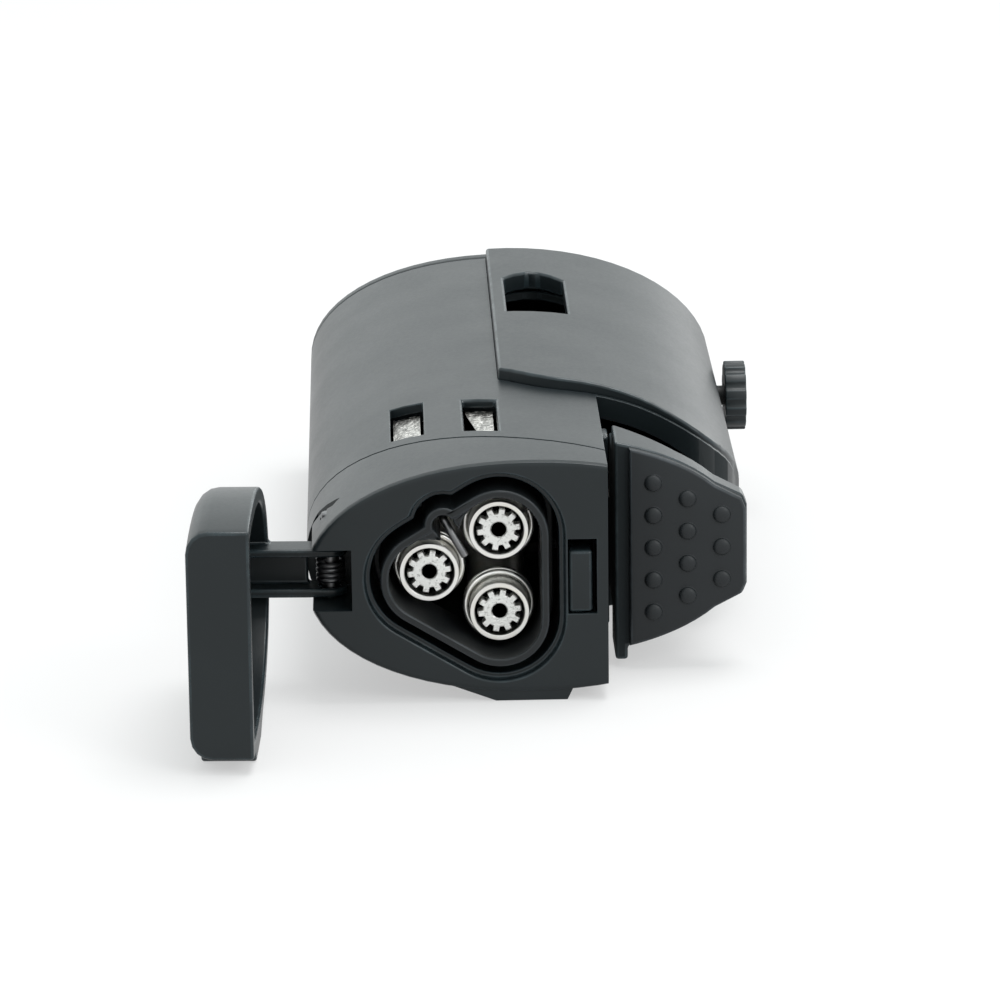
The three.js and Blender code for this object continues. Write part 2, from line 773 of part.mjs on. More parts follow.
function piezoCase() {
  const halfX = piezoWidth / 2;
  const halfY = piezoDepth / 2;
  const roomX = plungerWidth / 2 + plungerPlay;
  const roomY = plungerDepth / 2 + plungerPlay;
  const floor = piezoTop - plungerSeat - triggerTravel - gap;
  return cut(
    block(piezoX - halfX, piezoX + halfX, -halfY, halfY, piezoTop - piezoLength, piezoTop),
    block(piezoX - roomX, piezoX + roomX, -roomY, roomY, floor, far),
  );
}

function piezoPlunger() {
  const x = plungerWidth / 2;
  const y = plungerDepth / 2;
  return block(piezoX - x, piezoX + x, -y, y, piezoTop - plungerSeat, plungerTop);
}

// The spark lead: from the piezo case, behind the burners and round to the foot of the electrode.
function ignitionLead() {
  const back = -(halfDepth - wall) + 2.1;
  const start = piezoX - piezoWidth / 2 - 0.9;
  const foot = burnerBottom - blockHeight - 2;
  const route = [
    [start, back + 0.5, piezoTop - 18],
    [start - 0.6, back + 0.1, piezoTop - 10],
    [leverPivotX + 1, back, piezoTop - 4],
    [valveX - 2, back - 0.1, foot + 0.1],
    [electrodeX - 4.4, -3.4, foot + 1],
    [electrodeX - 5, 1.5, foot + 3],
    [electrodeX - 2.4, electrodeY, foot + 6],
    [electrodeX, electrodeY, electrodeFoot - gap],
  ].map(([x, y, z]) => new THREE.Vector3(x, y, z));
  return wire(new THREE.CatmullRomCurve3(route), leadRadius, 32, 6);
}

// The trigger's rear edge, beside the cover's.
const triggerRear = [
  [triggerLeft, triggerTop - 5.9],
  [triggerRight - 5.8, triggerTop - 3.1],
  [triggerRight + 1, triggerTop - 2],
];

// The trigger's outline: the casing's oval, blunted at the outer end.
function triggerOutline(inset, bottom, top) {
  const reach = triggerRight - inset;
  const flank = (x) => ovalDepthAt(x) - triggerInset - inset;
  const nose = triggerNose - inset;
  const left = triggerLeft + inset;
  const step = (triggerCorner - left) / flankSteps;
  const side = Array.from({ length: flankSteps + 1 }, (_, i) => left + i * step);
  const upper = [...side.map((x) => [x, flank(x)]), [reach - 0.35, nose], [reach, nose - 0.9]];
  const lower = upper.map(([x, y]) => [x, -y]).reverse();
  return prism(new THREE.Shape([...lower, ...upper].map(([x, y]) => new THREE.Vector2(x, y))), bottom, top);
}

function trigger() {
  const left = triggerLeft - 1;
  const low = triggerTop - 6.3;
  const corners = [[far, triggerTop - 1.6], [far, far], [left, far], [left, low]];
  const infront = slab([...triggerRear, ...corners], -far, far);
  const footBack = -(ovalDepthAt(triggerLeft) + footProud);
  const foot = block(triggerLeft, triggerLeft + padMargin - 0.15, footBack, 0, triggerTop - 15, triggerTop);
  const cap = keep(join(triggerOutline(0, triggerTop - 15, triggerTop), foot), infront);
  const skirt = keep(prism(oval(-skirtInset), triggerTop - skirtDrop, triggerTop - 1), rightOf(triggerLeft));
  const cavity = keep(
    prism(oval(-skirtInset - triggerWall), 0, triggerTop - capThickness),
    rightOf(triggerLeft + triggerWall),
  );
  const boss = post(plungerBoss, piezoX, 0, plungerTop + gap, triggerTop - 1);
  const armFoot = leverHeight + leverThickness / 2 + gap;
  const arm = block(leverEnd - armThickness, leverEnd, -1.5, 1.5, armFoot, triggerTop - 1);
  return join(cut(join(cap, skirt), cavity), boss, arm);
}

// The bump pad: a thin overmoulded face with three rows of round bumps.
function triggerPad() {
  const foot = triggerTop + 0.05;
  const plate = keep(triggerOutline(0.15, foot, foot + padHeight), rightOf(triggerLeft + padMargin));
  const firstRow = triggerLeft + bumpStart;
  const lastRow = triggerRight - bumpEnd;
  const bumps = bumpRows.flatMap((count, row) =>
    Array.from({ length: count }, (_, i) => {
      const x = firstRow + (row * (lastRow - firstRow)) / (bumpRows.length - 1);
      const dome = new THREE.SphereGeometry(bumpRadius, 9, 6).rotateX(Math.PI / 2).scale(1, 1, bumpFlatness);
      return solid(dome.translate(x, (i - (count - 1) / 2) * bumpPitch, triggerTop + padHeight));
    }),
  );
  return join(plate, ...bumps);
}

function triggerSpring() {
  const length = triggerTop - capThickness - piezoTop - 1.3;
  const foot = piezoTop + 0.7;
  const curve = new Helix(triggerSpringRadius, triggerSpringTurns, length, (point) =>
    point.add(new THREE.Vector3(piezoX, 0, foot)),
  );
  return wire(curve, triggerSpringWire, 66, 5);
}

function latch() {
  const x = latchSlotX + fit;
  const back = -latchSlotLength / 2 + fit;
  return block(x, x + latchWidth, back, back + latchLength - fit, latchFoot, deckHeight - latchSink);
}

place("piezo_case", piezoCase(), darkPlastic);
place("piezo_plunger", piezoPlunger(), darkPlastic);
place("ignition_lead", ignitionLead(), rubber);
place("trigger", trigger(), charcoal);
place("trigger_pad", triggerPad(), charcoal);
place("trigger_spring", triggerSpring(), steel);
place("latch", latch(), charcoal);

// ---------------------------------------------------------------- flame adjuster

function adjusterKnob() {
  const x = knobInside;
  const grips = Array.from({ length: knobGrips }, (_, i) => {
    const angle = (i / knobGrips) * 2 * Math.PI;
    const reach = knobRadius + 0.35;
    return sidePin(gripRadius, reach * Math.cos(angle), knobHeight + reach * Math.sin(angle), x - 1, far, 12);
  });
  return cut(
    sidePin(knobRadius, 0, knobHeight, x, x + knobThickness, 48),
    ...grips,
    sidePin(adjusterStem + 0.02, 0, knobHeight, x - 1, x + stemSeat + 0.2),
  );
}

function adjusterStemPiece() {
  const inner = (regulatorLeft + regulatorRight) / 2;
  return sidePin(adjusterStem - 0.1, 0, knobHeight, inner, knobInside + stemSeat);
}

function adjusterRegulator() {
  return cut(
    block(regulatorLeft, regulatorRight, -regulatorHalf, regulatorHalf, regulatorFoot, regulatorTop),
    sidePin(adjusterStem + fit, 0, knobHeight, (regulatorLeft + regulatorRight) / 2 - 0.5, far),
  );
}

place("adjuster_knob", adjusterKnob(), charcoal);
place("adjuster_stem", adjusterStemPiece(), brass);
place("flame_regulator", adjusterRegulator(), brass);

// ---------------------------------------------------------------- lid and hinge

function lidShell() {
  const bottom = deckHeight + gap;
  const top = bottom + lidHeight;
  const outside = keep(
    join(prism(oval(), bottom - 3, top, lidRound), backPad(bottom - 3, top - 0.6)),
    leftOf(shoulder),
    block(-far, far, -far, far, bottom, far),
  );
  const inside = keep(prism(oval(-lidWall), 0, top - lidWall), leftOf(shoulder - lidWall));
  const arm = join(
    crossPin(hingeBoss, hingeX, hingeHeight, armBack, armFront, 32),
    block(hingeX - hingeBoss, hingeX + hingeBoss, armBack, armFront, hingeHeight, top - lidWall / 2),
  );
  const back = armMiddle - springWidth / 2;
  const front = armMiddle + springWidth / 2;
  const inner = hingeX + hingeBoss + 1;
  const coilRoom = join(
    crossPin(springRadius + gap, hingeX, hingeHeight, back, front, 32),
    block(hingeX - hingeBoss - 1, inner, back, front, hingeHeight - 8, hingeHeight + springRadius + 0.65),
    block(hingeX - armWeb, inner, back, front, hingeHeight, top - lidWall),
  );
  return cut(
    join(cut(outside, inside), arm),
    coilRoom,
    crossPin(hingePin + fit, hingeX, hingeHeight, -9, 9, 32),
  );
}

function lidLiner() {
  const top = deckHeight + gap + lidHeight - lidWall - gap;
  return triangle(guardRadius - 0.4, top - linerThickness, top);
}

function lidSpring() {
  const length = springWidth - 0.8;
  const start = new THREE.Vector3(hingeX, armMiddle + length / 2, hingeHeight);
  const curve = new Helix(springRadius - springWire, springTurns, length, (point) =>
    point.applyAxisAngle(new THREE.Vector3(1, 0, 0), Math.PI / 2).add(start),
  );
  return wire(curve, springWire, 52, 5);
}

place(
  "hinge_pin",
  crossPin(hingePin, hingeX, hingeHeight, -hingePinLength / 2, hingePinLength / 2, 32),
  steel,
);
place("lid_spring", lidSpring(), steel);
place("lid_shell", lidShell(), charcoal, lid);
place("lid_liner", lidLiner(), rubber, lid);

// Swing the lid open about the hinge, on the side away from the trigger.
lid.position.set(hingeX, 0, hingeHeight);
lid.rotation.y = -lidOpening;
lid.children.forEach((mesh) => mesh.position.set(-hingeX, 0, -hingeHeight));

// ---------------------------------------------------------------- lay the lighter on its back

const part = new THREE.Group();
part.add(lighter);
lighter.rotation.x = Math.PI / 2;
part.updateMatrixWorld(true);
const box = new THREE.Box3().setFromObject(part);
const centre = box.getCenter(new THREE.Vector3());
lighter.position.set(-centre.x, -centre.y, -box.min.z);

export default part;
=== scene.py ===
"""A pocket torch lighter with three jets, lying on its back with its lid open, built round its frame."""

import json
import math

import bmesh
import bpy
from bpy.props import FloatProperty, FloatVectorProperty, PointerProperty
from mathutils import Matrix, Vector, noise

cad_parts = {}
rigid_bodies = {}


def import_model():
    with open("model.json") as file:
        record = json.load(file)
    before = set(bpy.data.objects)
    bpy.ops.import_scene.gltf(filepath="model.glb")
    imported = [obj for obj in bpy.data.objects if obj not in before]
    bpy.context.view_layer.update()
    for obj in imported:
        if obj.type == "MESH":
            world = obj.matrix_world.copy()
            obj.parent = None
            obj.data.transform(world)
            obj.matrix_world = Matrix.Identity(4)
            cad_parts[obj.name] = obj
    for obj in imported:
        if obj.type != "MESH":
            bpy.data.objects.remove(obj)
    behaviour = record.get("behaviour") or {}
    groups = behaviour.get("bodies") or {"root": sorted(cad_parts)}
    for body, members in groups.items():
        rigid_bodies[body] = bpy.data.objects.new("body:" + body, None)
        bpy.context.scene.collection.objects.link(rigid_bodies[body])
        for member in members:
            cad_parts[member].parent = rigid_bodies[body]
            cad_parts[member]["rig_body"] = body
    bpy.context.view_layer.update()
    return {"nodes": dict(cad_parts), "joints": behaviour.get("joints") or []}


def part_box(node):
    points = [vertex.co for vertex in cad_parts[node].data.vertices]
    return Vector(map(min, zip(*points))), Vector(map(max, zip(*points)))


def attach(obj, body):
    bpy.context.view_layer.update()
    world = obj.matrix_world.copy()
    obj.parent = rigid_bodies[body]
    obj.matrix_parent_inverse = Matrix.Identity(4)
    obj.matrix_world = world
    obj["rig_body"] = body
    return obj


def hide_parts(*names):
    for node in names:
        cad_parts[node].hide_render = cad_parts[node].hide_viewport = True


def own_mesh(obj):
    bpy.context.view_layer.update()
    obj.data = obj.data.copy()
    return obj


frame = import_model()

bl_info = {
    "name": "Torch lighter",
    "version": (1, 0, 0),
    "blender": (4, 5, 0),
    "location": "3D View > Sidebar > Lighter",
    "description": "Casing, burners, trigger, lid and finishes of a pocket torch lighter",
    "category": "Add Mesh",
}

MM = 0.001
DECK = 64 * MM  # the burner deck is farther than this from the base plate
UP = Vector((0, 0, 1))
OUT = Vector((0, -1, 0))  # out of the burner deck


# ---------------------------------------------------------------- sizes and colours


def length(name, description, default):
    """A size in metres that the user may change."""
    return FloatProperty(
        name=name, description=description, default=default, min=0, unit="LENGTH", precision=5
    )


def amount(name, description, default, top=1.0):
    """A plain number, such as a roughness."""
    return FloatProperty(
        name=name, description=description, default=default, min=0, max=top, subtype="FACTOR"
    )


def colour(name, description, default):
    """A linear colour."""
    return FloatVectorProperty(
        name=name, description=description, default=default, size=3, min=0, max=1, subtype="COLOR"
    )


def turn(name, description, degrees):
    """An angle, given in degrees."""
    return FloatProperty(
        name=name, description=description, default=math.radians(degrees), subtype="ANGLE"
    )


def power(name, description, default):
    """The power of a lamp, in watts."""
    return FloatProperty(name=name, description=description, default=default, min=0, unit="POWER")


class LighterSizes(bpy.types.PropertyGroup):
    """Sizes of the finished pieces that the frame doesn't hold."""

    casing_edge: length("Casing edge", "Rounding of the casing's and the lid's edges", 0.24 * MM)
    cover_edge: length("Cover edge", "Rounding of the cover's edges", 0.26 * MM)
    guard_edge: length("Guard edge", "Rounding of the edges of the guard round the burners", 0.16 * MM)
    tube_wall: length("Burner wall", "Thickness of a burner tube at its mouth", 0.42 * MM)
    tooth_depth: length("Tooth depth", "Depth of the gaps between a flame disc's teeth", 0.42 * MM)
    jet_radius: length("Jet radius", "Radius of the hole in a flame disc", 0.62 * MM)
    mouth_chamfer: length("Mouth chamfer", "Chamfer of a burner tube's mouth", 0.06 * MM)
    spark_wire: length("Spark wire", "Radius of the electrode", 0.33 * MM)
    coil_wire: length("Coil wire", "Radius of the catalyst wire round a burner", 0.24 * MM)
    bump_radius: length("Bump radius", "Radius of a bump on the trigger", 0.72 * MM)
    bump_pitch: length("Bump pitch", "Distance between the bumps of a row", 2.8 * MM)
    screen_crease: length("Screen crease", "Depth of the creases in the air screens", 0.22 * MM)


class LighterColours(bpy.types.PropertyGroup):
    """Colours and roughnesses of the finishes."""

    plastic: colour("Plastic", "Charcoal plastic of the casing", (0.0068, 0.0100, 0.0114))
    plastic_roughness: amount("Plastic roughness", "How matt the casing is", 0.36)
    pad: colour("Pad", "Overmoulded bump pad", (0.0085, 0.0105, 0.0120))
    guard: colour("Guard", "Plastic round the burners", (0.0070, 0.0085, 0.0095))
    steel: colour("Steel", "Burner tubes and wires", (0.72, 0.715, 0.69))
    sinter: colour("Sintered metal", "Flame discs", (0.70, 0.70, 0.68))
    # painted shade: the electrode and the hinge pin are painted this dark to stand for the shade they sit
    # in; the lid spring has the same dark colour
    dark_steel: colour("Steel painted dark", "Electrode, hinge pin and lid spring", (0.16, 0.16, 0.165))
    screen: colour("Screen", "Air screens", (0.70, 0.69, 0.66))
    brass: colour("Brass", "Valves", (0.62, 0.44, 0.17))
    smoke: colour("Smoked plastic", "Fuel tank", (0.010, 0.012, 0.013))
    rubber: colour("Rubber", "Leads, hose and liner", (0.012, 0.012, 0.013))
    ceramic: colour("Ceramic", "Electrode insulator", (0.72, 0.69, 0.62))


class StageSettings(bpy.types.PropertyGroup):
    """The floor, the lights and the camera."""

    azimuth: turn("Azimuth", "Camera's angle round the lighter", 1.33)
    elevation: turn("Elevation", "Camera's height above the horizon", 16)
    roll: turn("Roll", "Camera's tilt", -0.69)
    distance: length("Distance", "Camera to the middle of its view", 531.9 * MM)
    lens: FloatProperty(
        name="Lens", description="Focal length in millimetres", default=200.88, min=1, unit="CAMERA"
    )
    floor: colour("Floor", "Pale floor", (0.26, 0.26, 0.26))
    glow: amount("Floor glow", "Light that the floor gives, as a backlit table does", 0.48, 4.0)
    key: power("Key", "Power of the softbox overhead", 2.6)
    fill: power("Fill", "Power of the softbox on the right", 0.7)
    front: power("Front", "Power of the softbox in front", 1.3)
    room: colour("Room", "Tint of the pale room", (0.955, 1.0, 1.0))
    world: amount("World", "Brightness of the pale room", 1.38, 4.0)


# ---------------------------------------------------------------- shader maths


class Value:
    """A shader socket that can be used in sums: each sum adds its Math node."""

    def __init__(self, tree, socket):
        self.tree = tree
        self.socket = socket

    def math(self, operation, *values):
        node = self.tree.nodes.new("ShaderNodeMath")
        node.operation = operation
        for slot, value in zip(node.inputs, values):
            if isinstance(value, Value):
                self.tree.links.new(value.socket, slot)
            else:
                slot.default_value = value
        return Value(self.tree, node.outputs[0])

    def __add__(self, other):
        return self.math("ADD", self, other)

    __radd__ = __add__

    def __sub__(self, other):
        return self.math("SUBTRACT", self, other)

    def __rsub__(self, other):
        return self.math("SUBTRACT", other, self)

    def __mul__(self, other):
        return self.math("MULTIPLY", self, other)

    __rmul__ = __mul__

    def between(self, low, high):
        """0 below low, 1 above high, smooth in between."""
        node = self.tree.nodes.new("ShaderNodeMapRange")
        node.interpolation_type = "SMOOTHSTEP"
        self.tree.links.new(self.socket, node.inputs["Value"])
        node.inputs["From Min"].default_value = low
        node.inputs["From Max"].default_value = high
        return Value(self.tree, node.outputs["Result"])


class Finish:
    """One material: a Principled shader and the nodes that feed it."""

    def __init__(self, name, **constants):
        self.material = bpy.data.materials.new(name)
        self.material.use_nodes = True
        self.tree = self.material.node_tree
        self.shader = self.tree.nodes["Principled BSDF"]
        for socket, value in constants.items():
            label = socket.replace("_", " ").title().replace("Ior", "IOR")
            self.shader.inputs[label].default_value = value
        self.place = self.node("ShaderNodeTexCoord", out="Object")

    def node(self, kind, settings=None, out=0, **links):
        """Adds a node, its settings first, then its sockets' values or links, and returns an output.

        A link is named after its socket, or is the socket's number after an underscore.
        """
        node = self.tree.nodes.new(kind)
        for key, value in (settings or {}).items():
            setattr(node, key, value)
        for key, value in links.items():
            number = key[1:].isdigit()
            socket = node.inputs[int(key[1:]) if number else key.replace("_", " ")]
            if isinstance(value, Value):
                self.tree.links.new(value.socket, socket)
            else:
                socket.default_value = value
        return Value(self.tree, node.outputs[out])

    def noise(self, size, detail=3.0, rough=0.55, stretch=(1, 1, 1)):
        """Smooth noise from 0 to 1, with features about size metres across."""
        spot = self.node("ShaderNodeMapping", Vector=self.place, Scale=stretch)
        return self.node("ShaderNodeTexNoise", Vector=spot, Scale=1 / size, Detail=detail, Roughness=rough)

    def cells(self, size):
        """Distance to the middle of the nearest of many cells, each about size metres across."""
        return self.node("ShaderNodeTexVoronoi", {"feature": "F1"}, Vector=self.place, Scale=1 / size)

    def mark(self, name):
        """A mark that the mesh carries, such as its worn edges."""
        return self.node("ShaderNodeAttribute", {"attribute_name": name}, out="Fac")

    def mixed(self, factor, first, second):
        """A colour between two others."""
        start, end = (tone if isinstance(tone, Value) else (*tone, 1) for tone in (first, second))
        return self.node("ShaderNodeMix", {"data_type": "RGBA"}, out=2, _0=factor, _6=start, _7=end)

    def bump(self, height, depth, strength=1.0):
        """Bumps of that depth in metres."""
        return self.node("ShaderNodeBump", Height=height, Distance=depth, Strength=strength)

    def feed(self, **links):
        """Links what varies over the surface to the shader."""
        for key, value in links.items():
            self.tree.links.new(value.socket, self.shader.inputs[key.replace("_", " ")])
        return self.material


def shade(tone, share):
    """The same colour, lighter or darker."""
    return tuple(min(1.0, c * share) for c in tone)


# ---------------------------------------------------------------- finishes


def moulded_plastic(name, tone, roughness, grain=0.09 * MM):
    """Satin moulded plastic: a fine eroded grain, faint clouding, and a painted highlight on the rounded
    edges, which are also made glossier.
    """
    finish = Finish(name, ior=1.36)
    edge = finish.mark("edge")
    cloud = finish.noise(7 * MM, 4)
    fine = finish.noise(0.35 * MM, 2)
    grains = finish.noise(grain, 1.5)
    edge_highlight_and_polish = edge * (0.35 + 0.65 * finish.noise(1.6 * MM, 3).between(0.35, 0.7))
    body = finish.mixed(cloud.between(0.3, 0.75), shade(tone, 0.93), shade(tone, 1.08))
    # painted highlight: the marked edges are lightened towards three times the tone, patchy along their
    # length
    skin = finish.mixed(edge_highlight_and_polish * 0.85, body, shade(tone, 3))
    matt = roughness + 0.10 * (cloud - 0.5) + 0.08 * (fine - 0.5) - 0.10 * edge_highlight_and_polish
    matt = matt + 0.5 * finish.mark("inside")
    return finish.feed(
        Base_Color=skin,
        Roughness=matt,
        Normal=finish.bump(grains + 0.5 * fine, 0.006 * MM, 0.55),
    )


def bright_metal(name, tone, roughness):
    """Drawn and turned metal: fine lines round the piece, a few scuffs and a faint warm tint."""
    finish = Finish(name, metallic=1.0)
    lines = finish.noise(0.30 * MM, 3, stretch=(0.25, 3, 0.25))
    scuff = finish.noise(0.8 * MM, 5).between(0.52, 0.72)
    warm = finish.noise(2.2 * MM, 2).between(0.35, 0.75)
    skin = finish.mixed(warm, tone, (tone[0] * 0.95, tone[1] * 0.93, tone[2] * 0.90))
    return finish.feed(
        Base_Color=skin,
        Roughness=roughness + 0.18 * scuff + 0.10 * (lines - 0.5),
        Normal=finish.bump(lines, 0.010 * MM, 0.35),
    )


def sintered_metal(name, tone):
    """Pressed powder metal: rounded grains, dark pits between them, and near-black painted shade where the
    mesh is marked.
    """
    finish = Finish(name, metallic=1.0)
    grains = finish.cells(0.16 * MM)
    pits = finish.noise(0.22 * MM, 3).between(0.26, 0.46)
    skin = finish.mixed(pits, shade(tone, 0.6), tone)
    return finish.feed(
        Base_Color=finish.mixed(finish.mark("painted_shade"), skin, shade(tone, 0.008)),
        Roughness=0.62 - 0.16 * pits,
        Normal=finish.bump(1 - grains, 0.045 * MM, 0.7),
    )


def crumpled_foil(name, tone):
    """Silver foil: bright facets, dull creases and small dark specks."""
    finish = Finish(name, metallic=1.0)
    facets = finish.cells(0.7 * MM)
    specks = finish.noise(0.28 * MM, 3).between(0.42, 0.62)
    skin = finish.mixed(specks, shade(tone, 0.45), tone)
    return finish.feed(
        Base_Color=skin,
        Roughness=0.30 + 0.25 * facets,
        Normal=finish.bump(facets + 0.4 * specks, 0.08 * MM, 0.8),
    )


def smoked_plastic(name, tone):
    """Smoked clear plastic of the tank: glossy, faintly rippled, with a trace of fuel film."""
    finish = Finish(name, ior=1.49, transmission_weight=0.35)
    ripple = finish.noise(3.5 * MM, 2)
    film = finish.noise(1.2 * MM, 4).between(0.45, 0.7)
    return finish.feed(
        Base_Color=finish.mixed(film, shade(tone, 0.8), shade(tone, 2.0)),
        Roughness=0.10 + 0.10 * film,
        Normal=finish.bump(ripple, 0.05 * MM, 0.5),
    )


def soft_rubber(name, tone):
    """Rubber and cable sleeving: dull, with a powdery bloom."""
    finish = Finish(name, ior=1.5)
    bloom = finish.noise(0.9 * MM, 4)
    return finish.feed(
        Base_Color=finish.mixed(bloom.between(0.4, 0.7), tone, shade(tone, 2.4)),
        Roughness=0.72 + 0.2 * (bloom - 0.5),
        Normal=finish.bump(finish.noise(0.15 * MM, 2), 0.01 * MM, 0.5),
    )


def glazed_ceramic(name, tone):
    """Glazed ceramic with a few grey specks."""
    finish = Finish(name, ior=1.55, coat_weight=0.5)
    specks = finish.cells(0.45 * MM).between(0.05, 0.13)
    return finish.feed(
        Base_Color=finish.mixed(specks, shade(tone, 0.45), tone),
        Roughness=0.30 + 0.15 * finish.noise(0.6 * MM, 2),
        Normal=finish.bump(finish.noise(0.8 * MM, 2), 0.02 * MM, 0.3),
    )


finishes = {}


def make_finishes(colours):
    """Makes every finish, under the name of the slot that it fills."""
    made = {
        "casing": moulded_plastic("charcoal plastic", colours.plastic, colours.plastic_roughness),
        "cover": moulded_plastic("cover plastic", colours.plastic, colours.plastic_roughness + 0.02),
        "guard": moulded_plastic("guard plastic", colours.guard, 0.45),
        "grip": moulded_plastic("pad plastic", colours.pad, colours.plastic_roughness + 0.10, 0.14 * MM),
        "dark_plastic": moulded_plastic("igniter plastic", shade(colours.guard, 0.8), 0.5),
        "steel": bright_metal("plated steel", shade(colours.steel, 0.75), 0.30),
        "dark_steel": bright_metal("steel painted dark", colours.dark_steel, 0.38),
        "bright_steel": bright_metal("bright steel", colours.steel, 0.30),
        "sinter": sintered_metal("sintered metal", colours.sinter),
        "screen": crumpled_foil("silver screen", colours.screen),
        "brass": bright_metal("brass", colours.brass, 0.28),
        "smoked": smoked_plastic("smoked plastic", colours.smoke),
        "rubber": soft_rubber("rubber", colours.rubber),
        "ceramic": glazed_ceramic("ceramic", colours.ceramic),
    }
    finishes.update(made)


# ---------------------------------------------------------------- mesh work


def box_of(node):
    """Middle and size of a frame node."""
    low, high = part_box(node)
    return (low + high) / 2, high - low


def body_of(node):
    """The body that a frame node rides on."""
    return frame["nodes"][node]["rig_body"]


def finished(name, bm, slot, body, *nodes, smooth=math.radians(35)):
    """Makes a piece of a bmesh, with its finish, that rides on its body in place of frame nodes."""
    mesh = bpy.data.meshes.new(name)
    bmesh.ops.recalc_face_normals(bm, faces=bm.faces)
    bm.to_mesh(mesh)
    bm.free()
    mesh.shade_smooth()
    mesh.set_sharp_from_angle(angle=smooth)
    piece = bpy.data.objects.new(name, mesh)
    bpy.context.scene.collection.objects.link(piece)
    mesh.materials.append(finishes[slot])
    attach(piece, body)
    if nodes:
        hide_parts(*nodes)
    return piece


def chains(edges):
    """The edges in groups that touch one another."""
    left = dict.fromkeys(edges)
    groups = []
    while left:
        group = [next(iter(left))]
        del left[group[0]]
        for edge in group:
            for touching in (e for vert in edge.verts for e in vert.link_edges):
                if touching in left:
                    del left[touching]
                    group.append(touching)
        groups.append(group)
    return groups


def softened(node, radius, sharp=math.radians(28), merge=0.02 * MM, clamp=True):
    """A copy of a frame node's mesh with its edges rounded; the rounded faces are marked as edges.

    Corners closer than merge are joined first, and each chain of edges is rounded by itself, because the
    shortest edge of a chain limits how far all of it can be rounded.
    """
    bm = bmesh.new()
    bm.from_mesh(frame["nodes"][node].data)
    bmesh.ops.remove_doubles(bm, verts=bm.verts, dist=merge)
    bmesh.ops.dissolve_degenerate(bm, edges=bm.edges, dist=merge / 10)
    bmesh.ops.dissolve_limit(bm, angle_limit=math.radians(1), verts=bm.verts, edges=bm.edges)
    # the rounded faces are marked; the moulded plastic finish paints a highlight on them
    mark = bm.faces.layers.float.new("edge")
    edges = [e for e in bm.edges if e.is_manifold and e.calc_face_angle(0) > sharp]
    for chain in chains(edges):
        made = bmesh.ops.bevel(
            bm,
            geom=chain,
            offset=radius,
            offset_type="OFFSET",
            segments=3,
            profile=0.5,
            affect="EDGES",
            clamp_overlap=clamp,
            loop_slide=True,
        )
        for face in made["faces"]:
            face[mark] = 1.0
    return bm


def rounded(name, node, slot, radius, **options):
    """A frame node's shape with its edges rounded, in its place."""
    return finished(name, softened(node, radius, **options), slot, body_of(node), node)


def mark_inside(bm):
    """Marks the faces inside the casing's wall, which are left rough from the mould."""
    middle, size = box_of("base_plate")
    wall = 1.1 * MM
    inside = bm.faces.layers.float.new("inside")
    for face in bm.faces:
        spot = face.calc_center_median() - middle
        reach = (spot.x / (size.x / 2 - wall)) ** 2 + (spot.z / (size.z / 2 - wall)) ** 2
        face[inside] = 1.0 if reach < 1 and spot.y > -DECK else 0.0


def moulded(name, node, slot, radius, fitted=None, merge=0.1 * MM, clamp=True):
    """A large moulded shell with rounded edges, its faces weighted by area so that walls look even."""
    bm = softened(node, radius, merge=merge, clamp=clamp)
    mark_inside(bm)
    if fitted:
        fitted(bm)
    piece = finished(name, bm, slot, body_of(node), node)
    shading = piece.modifiers.new("even shading", "WEIGHTED_NORMAL")
    shading.keep_sharp = True
    return piece


def lathe(bm, profile, centre, axis=OUT, sides=96):
    """Turns a closed profile of (radius, height) about an axis through centre."""
    across = axis.orthogonal().normalized()
    rings = []
    for i in range(sides):
        spoke = Matrix.Rotation(2 * math.pi * i / sides, 3, axis) @ across
        rings.append([bm.verts.new(centre + spoke * r + axis * h) for r, h in profile])
    for ring, after in zip(rings, rings[1:] + rings[:1]):
        for j in range(len(profile)):
            k = (j + 1) % len(profile)
            bm.faces.new((ring[j], ring[k], after[k], after[j]))
    return bm


def arc(middle, radius, start, end, steps):
    """Points round part of a circle; angles in degrees."""
    angles = [math.radians(start + (end - start) * i / steps) for i in range(steps + 1)]
    return [(middle[0] + radius * math.cos(a), middle[1] + radius * math.sin(a)) for a in angles]


def swept(bm, points, radius, sides=12):
    """A round wire along points, with closed, slightly domed ends."""
    dome = 0.4
    frames = []
    normal = None
    for i, point in enumerate(points):
        ahead = (points[min(i + 1, len(points) - 1)] - points[max(i - 1, 0)]).normalized()
        normal = (normal or ahead.orthogonal()) - ahead * (normal or ahead.orthogonal()).dot(ahead)
        normal.normalize()
        frames.append((point, normal.copy(), ahead.cross(normal), ahead))
    rings = []
    for point, side, other, _ in frames:
        ring = []
        for k in range(sides):
            angle = 2 * math.pi * k / sides
            spoke = side * math.cos(angle) + other * math.sin(angle)
            ring.append(bm.verts.new(point + radius * spoke))
        rings.append(ring)
    for ring, after in zip(rings, rings[1:]):
        for k in range(sides):
            j = (k + 1) % sides
            bm.faces.new((ring[k], ring[j], after[j], after[k]))
    for ring, (point, _, _, ahead), sign in ((rings[0], frames[0], -1), (rings[-1], frames[-1], 1)):
        tip = bm.verts.new(point + ahead * sign * radius * dome)
        for k in range(sides):
            bm.faces.new((ring[k], ring[(k + 1) % sides], tip))
    return bm


def helix(centre, axis, radius, start, turns, rise, steps=40):
    """Points of a helix about an axis, from centre onwards."""
    across = axis.orthogonal().normalized()
    count = int(steps * turns)
    points = []
    for i in range(count + 1):
        t = i / count
        spoke = Matrix.Rotation(start + 2 * math.pi * turns * t, 3, axis) @ across
        points.append(centre + spoke * radius + axis * rise * t)
    return points


